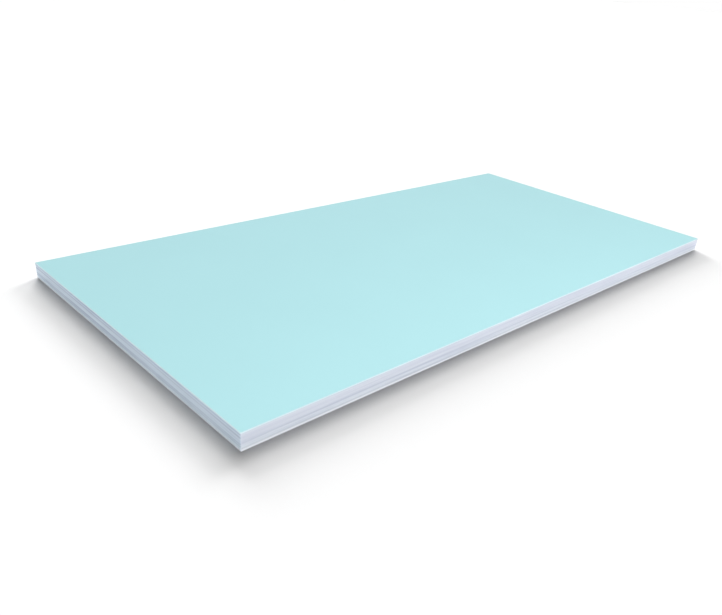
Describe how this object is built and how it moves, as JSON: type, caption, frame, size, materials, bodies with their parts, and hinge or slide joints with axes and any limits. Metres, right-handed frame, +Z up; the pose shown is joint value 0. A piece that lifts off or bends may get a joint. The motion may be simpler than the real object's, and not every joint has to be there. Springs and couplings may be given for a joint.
{
  "type": "foam pvc sheet",
  "caption": "Flat rectangular board of rigid foam PVC with a pale aqua top face and white edges milled to size, for panels, signs, partitions and cladding.",
  "frame": {"origin": "middle of the underside, which lies on the floor", "axes": "+X along the length, +Y along the width, +Z up through the thickness towards the coloured face"},
  "size_m": [1.22, 0.61, 0.027],
  "materials": {
    "sheet": "smooth satin face, milled white foam on the edges"
  },
  "bodies": {
    "root": {"foam_pvc_sheet": "sheet"}
  },
  "joints": []
}
